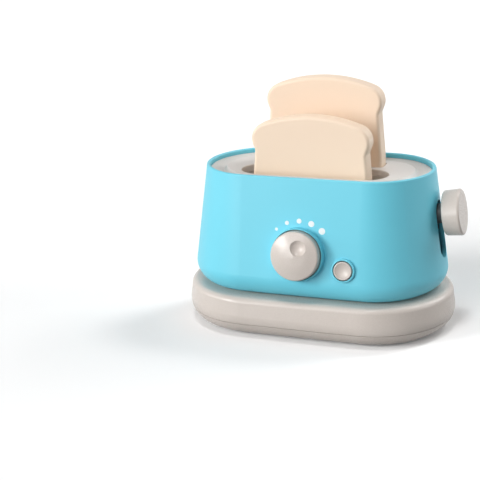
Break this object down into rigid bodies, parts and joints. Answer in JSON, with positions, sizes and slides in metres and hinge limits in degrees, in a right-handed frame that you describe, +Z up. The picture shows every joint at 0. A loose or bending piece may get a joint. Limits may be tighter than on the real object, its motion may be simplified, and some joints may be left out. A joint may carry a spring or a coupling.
{
  "type": "toy toaster",
  "caption": "Oval toy toaster on a stepped plinth, with bread slices in two slots, a side lever with a round knob, a browning dial and a cancel button.",
  "frame": {"origin": "on the table under the middle of the oval shell", "axes": "+X along the shell towards the lever, +Y to the back, away from the dial, +Z up"},
  "size_m": [0.1925, 0.1209, 0.167],
  "materials": {
    "turquoise_plastic": "satin moulded",
    "warm_grey_plastic": "satin moulded",
    "deck_plastic": "fine texture",
    "toast": "smooth painted",
    "inner_plastic": "as moulded",
    "steel": "drawn",
    "spring_steel": "drawn",
    "rubber": "matte"
  },
  "bodies": {
    "housing": {"outer_shell": "turquoise_plastic", "top_deck": "deck_plastic", "plinth": "warm_grey_plastic", "bottom_cover": "warm_grey_plastic", "foot_pads": "rubber", "front_well": "inner_plastic", "rear_well": "inner_plastic", "well_frame": "inner_plastic", "guide_rod_left": "steel", "guide_rod_right": "steel", "pop_up_spring_left": "spring_steel", "pop_up_spring_right": "spring_steel", "stop_bumpers": "rubber", "dial_bezel": "warm_grey_plastic", "button_spring": "spring_steel", "control_bracket": "inner_plastic", "bracket_screws": "steel", "snap_catch": "inner_plastic", "catch_screw": "steel", "shell_screws": "steel", "frame_screws": "steel", "cover_screws": "steel", "deck_screws": "steel"},
    "carriage": {"carriage": "inner_plastic"},
    "lever": {"lever_slider": "warm_grey_plastic", "lever_pin": "steel", "lever_knob": "warm_grey_plastic"},
    "front_bread": {"bread_slice_front": "toast"},
    "rear_bread": {"bread_slice_rear": "toast"},
    "dial": {"browning_dial": "warm_grey_plastic", "friction_washer": "spring_steel", "dial_retainer": "inner_plastic", "dial_screw": "steel"},
    "button": {"cancel_button": "warm_grey_plastic"}
  },
  "joints": [
    {"name": "carriage_slide", "type": "slide", "parent": "housing", "child": "carriage", "axis": [0, 0, -1], "range_m": [0, 0.022], "stiffness_N_per_m": 120, "springref_m": -0.03, "deforming": ["pop_up_spring_left", "pop_up_spring_right", "snap_catch"]},
    {"name": "lever_slide", "type": "slide", "parent": "housing", "child": "lever", "axis": [0.134, 0, -0.991], "range_m": [0, 0.0223]},
    {"name": "front_bread_lift", "type": "slide", "parent": "carriage", "child": "front_bread", "axis": [0, 0, 1], "range_m": [0, 0.07]},
    {"name": "rear_bread_lift", "type": "slide", "parent": "carriage", "child": "rear_bread", "axis": [0, 0, 1], "range_m": [0, 0.05]},
    {"name": "dial_turn", "type": "hinge", "parent": "housing", "child": "dial", "pos_m": [0, -0.05003, 0.061], "axis": [0, -0.991, 0.134], "range_deg": [-13, 72]},
    {"name": "button_push", "type": "slide", "parent": "housing", "child": "button", "axis": [0, 0.991, -0.134], "range_m": [0, 0.003], "stiffness_N_per_m": 250, "springref_m": -0.002, "deforming": ["button_spring", "snap_catch"]}
  ],
  "couplings": [
    {"joint": "lever_slide", "follows": "carriage_slide", "ratio": 1.0091}
  ]
}
